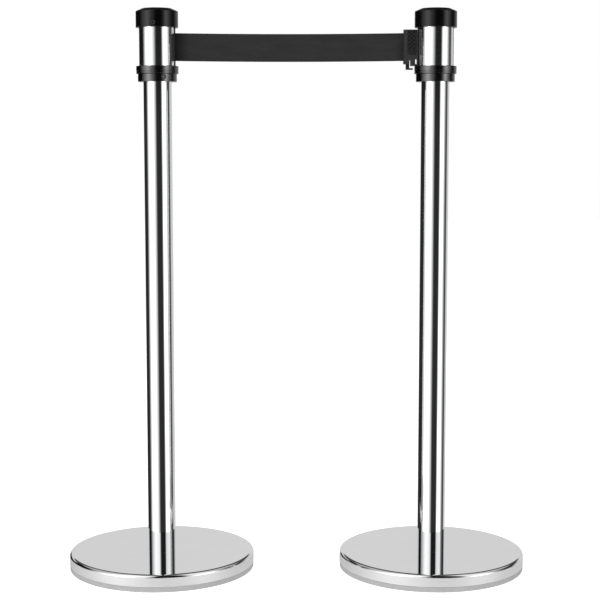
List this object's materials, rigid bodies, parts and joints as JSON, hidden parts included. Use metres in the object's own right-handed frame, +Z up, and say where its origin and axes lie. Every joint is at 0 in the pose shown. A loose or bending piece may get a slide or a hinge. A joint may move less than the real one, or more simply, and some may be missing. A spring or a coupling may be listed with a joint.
{
  "type": "retractable belt stanchion",
  "caption": "Retractable belt barrier: a chromed belt post with a spring cassette, its dark webbing belt and locking clip, and a matching receiver post on heavy round bases.",
  "frame": {"origin": "on the floor, midway between the two posts", "axes": "+X from the belt post to the end post, +Z up, -Y towards the front"},
  "size_m": [0.84, 0.34, 1.022],
  "materials": {
    "ring_rubber": "satin moulded rubber",
    "cast_iron": "painted casting",
    "polished_base": "polished",
    "zinc_steel": "zinc plated",
    "chrome": "mirror",
    "black_gloss": "glossy moulded",
    "black_matte": "matte moulded",
    "black_steel": "blackened",
    "bronze": "sintered",
    "spring_steel": "blued",
    "webbing": "woven, ribbed",
    "clip_plastic": "moulded with a dotted grip"
  },
  "bodies": {
    "belt_post": {"belt_post_floor_ring": "ring_rubber", "belt_post_weight": "cast_iron", "belt_post_base_cover": "polished_base", "belt_post_tie_bolt": "zinc_steel", "belt_post_washer": "zinc_steel", "belt_post_pole_plug": "zinc_steel", "belt_post_pole": "chrome", "belt_post_lower_collar": "black_gloss", "belt_post_collar_screw": "black_steel", "belt_post_upper_collar": "black_gloss", "belt_post_sleeve": "chrome", "belt_post_head_plate": "black_matte", "belt_post_head_bolts": "zinc_steel", "belt_post_cap": "black_gloss", "belt_post_cap_screw": "black_steel", "belt_post_outlet_guide": "black_matte", "belt_post_guide_pins": "zinc_steel", "belt_post_receiver": "black_matte", "cassette_frame": "black_matte", "cassette_lid": "black_matte", "cassette_bushes": "bronze", "spring_cup": "zinc_steel", "power_spring": "spring_steel", "spring_lid": "zinc_steel", "belt_lead": "webbing"},
    "drum": {"drum_shaft": "zinc_steel", "drum": "black_matte", "belt_roll": "webbing"},
    "belt": {"belt": "webbing"},
    "clip": {"belt_end_pin": "zinc_steel", "clip_body": "clip_plastic", "clip_cover": "clip_plastic", "clip_screws": "zinc_steel", "clip_rail": "clip_plastic", "lever_pin": "zinc_steel", "lever_spring": "spring_steel"},
    "lever": {"lock_lever": "clip_plastic"},
    "end_post": {"end_post_floor_ring": "ring_rubber", "end_post_weight": "cast_iron", "end_post_base_cover": "polished_base", "end_post_tie_bolt": "zinc_steel", "end_post_washer": "zinc_steel", "end_post_pole_plug": "zinc_steel", "end_post_pole": "chrome", "end_post_lower_collar": "black_gloss", "end_post_collar_screw": "black_steel", "end_post_upper_collar": "black_gloss", "end_post_sleeve": "chrome", "end_post_head_plate": "black_matte", "end_post_head_bolts": "zinc_steel", "end_post_cap": "black_gloss", "end_post_cap_screw": "black_steel", "end_post_near_receiver": "black_matte", "end_post_far_receiver": "black_matte", "end_post_core": "black_matte"}
  },
  "joints": [
    {"name": "post_spacing", "type": "slide", "parent": "belt_post", "child": "end_post", "axis": [1, 0, 0], "range_m": [-0.13, 1.4]},
    {"name": "belt_pull", "type": "slide", "parent": "belt_post", "child": "belt", "axis": [1, 0, 0], "range_m": [-0.13, 1.4], "deforming": ["belt"]},
    {"name": "drum_spin", "type": "hinge", "parent": "belt_post", "child": "drum", "pos_m": [-0.25, -0.0055, 0.954], "axis": [0, 0, -1], "range_deg": [-400, 4050], "stiffness_Nm_per_rad": 0.0018, "springref_deg": -3208.56, "deforming": ["power_spring"]},
    {"name": "clip_lift", "type": "slide", "parent": "belt", "child": "clip", "axis": [0, 0, 1], "range_m": [0, 0.003], "deforming": ["belt"]},
    {"name": "lock_lever", "type": "hinge", "parent": "clip", "child": "lever", "pos_m": [0.20675, 0, 0.9381], "axis": [0, -1, 0], "range_deg": [0, 6], "stiffness_Nm_per_rad": 0.02, "springref_deg": -20.05, "deforming": ["lever_spring"]}
  ],
  "couplings": [
    {"joint": "belt_pull", "follows": "post_spacing", "ratio": 1},
    {"joint": "drum_spin", "follows": "post_spacing", "rad_per_m": 49.2}
  ]
}
